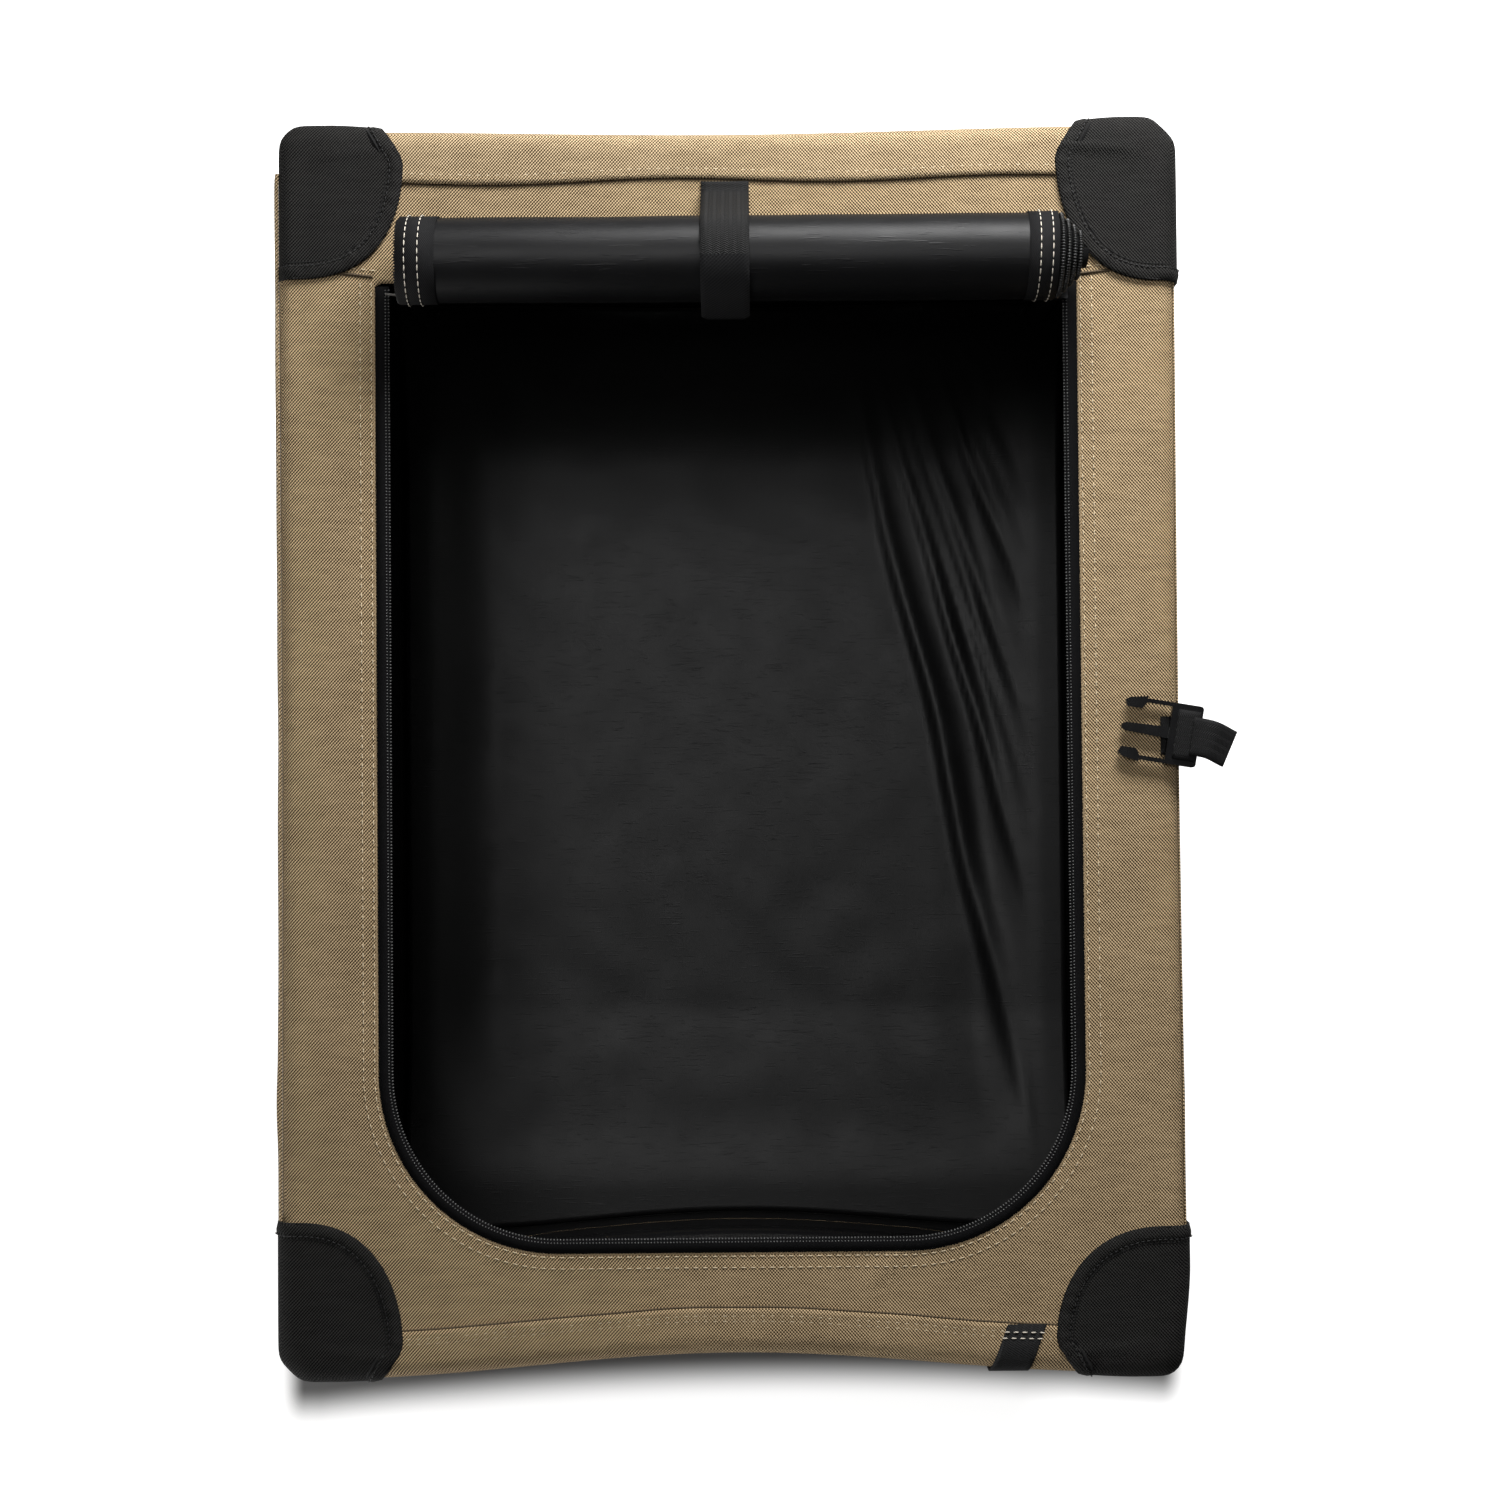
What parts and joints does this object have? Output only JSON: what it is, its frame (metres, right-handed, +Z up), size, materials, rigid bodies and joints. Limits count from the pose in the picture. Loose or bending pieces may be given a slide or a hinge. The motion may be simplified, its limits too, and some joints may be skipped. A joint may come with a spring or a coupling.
{
  "type": "soft folding dog crate",
  "caption": "Soft folding dog crate with a steel frame, mesh windows, a zipped end door and a top door rolled back under a strap.",
  "frame": {"origin": "on the floor, under the middle of the base", "axes": "+Z up; Y along the length, with the end door at -Y and the rolled top door at +Y; X across the width, with the buckle at +X"},
  "size_m": [0.5227, 0.663, 0.5034],
  "materials": {
    "frame_steel": "black powder coat",
    "moulded_nylon": "moulded",
    "tan_cloth": "woven, matt",
    "black_cloth": "woven, matt",
    "lining": "slubbed satin",
    "mesh": "open net",
    "webbing": "herringbone webbing",
    "zip_coil": "nylon coil on tape",
    "zinc": "black zinc",
    "board": "matt"
  },
  "bodies": {
    "base": {"base_frame_tube_front": "frame_steel", "base_frame_tube_rear": "frame_steel", "base_cover": "black_cloth", "floor_board": "board", "floor_liner": "lining", "base_clip_front_left": "moulded_nylon", "base_clip_front_right": "moulded_nylon", "base_clip_rear_left": "moulded_nylon", "base_clip_rear_right": "moulded_nylon", "base_corner_front_left": "black_cloth", "base_corner_front_right": "black_cloth", "base_corner_rear_left": "black_cloth", "base_corner_rear_right": "black_cloth", "side_wall_left": "tan_cloth", "side_wall_right": "tan_cloth", "end_wall_front": "tan_cloth", "end_wall_rear": "tan_cloth", "window_mesh_left": "mesh", "window_mesh_right": "mesh", "window_mesh_rear": "mesh"},
    "end_door": {"end_door": "tan_cloth", "end_door_mesh": "mesh"},
    "top": {"roof_panel": "tan_cloth", "top_frame_tube_front": "frame_steel", "top_frame_tube_rear": "frame_steel", "door_zip_track": "zip_coil", "door_roll": "lining", "roll_zip_coil_left": "zip_coil", "roll_zip_coil_right": "zip_coil", "front_tab": "webbing", "top_clip_front_left": "moulded_nylon", "top_clip_front_right": "moulded_nylon", "top_clip_rear_left": "moulded_nylon", "top_clip_rear_right": "moulded_nylon", "roof_corner_front_left": "black_cloth", "roof_corner_front_right": "black_cloth", "roof_corner_rear_left": "black_cloth", "roof_corner_rear_right": "black_cloth"},
    "roll_strap": {"roll_strap": "webbing"},
    "buckle_male": {"buckle_male": "moulded_nylon", "buckle_webbing": "webbing", "buckle_tail": "webbing"},
    "buckle_female": {"buckle_female": "moulded_nylon", "female_webbing": "webbing"},
    "zip_slider": {"zip_slider": "zinc"},
    "zip_pull_ring": {"zip_pull_ring": "zinc"},
    "front_lower_legs": {"front_lower_leg_frame": "frame_steel", "knee_clevis_front_left": "moulded_nylon", "knee_clevis_front_right": "moulded_nylon"},
    "front_upper_legs": {"front_upper_leg_frame": "frame_steel", "knee_tongue_front_left": "moulded_nylon", "knee_tongue_front_right": "moulded_nylon"},
    "rear_lower_legs": {"rear_lower_leg_frame": "frame_steel", "knee_clevis_rear_left": "moulded_nylon", "knee_clevis_rear_right": "moulded_nylon"},
    "rear_upper_legs": {"rear_upper_leg_frame": "frame_steel", "knee_tongue_rear_left": "moulded_nylon", "knee_tongue_rear_right": "moulded_nylon"}
  },
  "joints": [
    {"name": "front_lower_fold", "type": "hinge", "parent": "base", "child": "front_lower_legs", "pos_m": [0, -0.3095, 0.0242], "axis": [-1, 0, 0], "range_deg": [0, 80], "deforming": ["side_wall_left", "side_wall_right", "end_wall_front", "end_wall_rear", "window_mesh_left", "window_mesh_right", "window_mesh_rear", "end_door", "end_door_mesh"]},
    {"name": "front_knee", "type": "hinge", "parent": "front_lower_legs", "child": "front_upper_legs", "pos_m": [0, -0.3095, 0.2285], "axis": [-1, 0, 0], "range_deg": [-160, 0]},
    {"name": "front_top_pivot", "type": "hinge", "parent": "front_upper_legs", "child": "top", "pos_m": [0, -0.3095, 0.4328], "axis": [-1, 0, 0], "range_deg": [0, 80]},
    {"name": "rear_lower_fold", "type": "hinge", "parent": "base", "child": "rear_lower_legs", "pos_m": [0, 0.3185, 0.0242], "axis": [1, 0, 0], "range_deg": [0, 80]},
    {"name": "rear_knee", "type": "hinge", "parent": "rear_lower_legs", "child": "rear_upper_legs", "pos_m": [0, 0.3185, 0.2285], "axis": [1, 0, 0], "range_deg": [-160, 0]},
    {"name": "end_door_swing", "type": "hinge", "parent": "base", "child": "end_door", "pos_m": [0.165, -0.32856, 0.227], "axis": [0, 0, 1], "range_deg": [0, 170]},
    {"name": "roll_strap_lift", "type": "hinge", "parent": "top", "child": "roll_strap", "pos_m": [0, 0.302, 0.4573], "axis": [-1, 0, 0], "range_deg": [0, 100]},
    {"name": "buckle_flip", "type": "hinge", "parent": "top", "child": "buckle_male", "pos_m": [0.2385, 0.0045, 0.445], "axis": [0, 1, 0], "range_deg": [0, 80]},
    {"name": "zip_slider_travel", "type": "slide", "parent": "top", "child": "zip_slider", "axis": [0, -1, 0], "range_m": [0, 0.4]},
    {"name": "zip_pull_swing", "type": "hinge", "parent": "zip_slider", "child": "zip_pull_ring", "pos_m": [0.1771, 0.2431, 0.45985], "axis": [-1, 0, 0], "range_deg": [0, 90]},
    {"name": "socket_lift", "type": "hinge", "parent": "base", "child": "buckle_female", "pos_m": [0.2385, 0.0045, 0.0045], "axis": [0, -1, 0], "range_deg": [0, 65]}
  ],
  "couplings": [
    {"joint": "front_knee", "follows": "front_lower_fold", "ratio": -2},
    {"joint": "front_top_pivot", "follows": "front_lower_fold", "ratio": 1},
    {"joint": "rear_lower_fold", "follows": "front_lower_fold", "ratio": 1},
    {"joint": "rear_knee", "follows": "front_lower_fold", "ratio": -2}
  ]
}
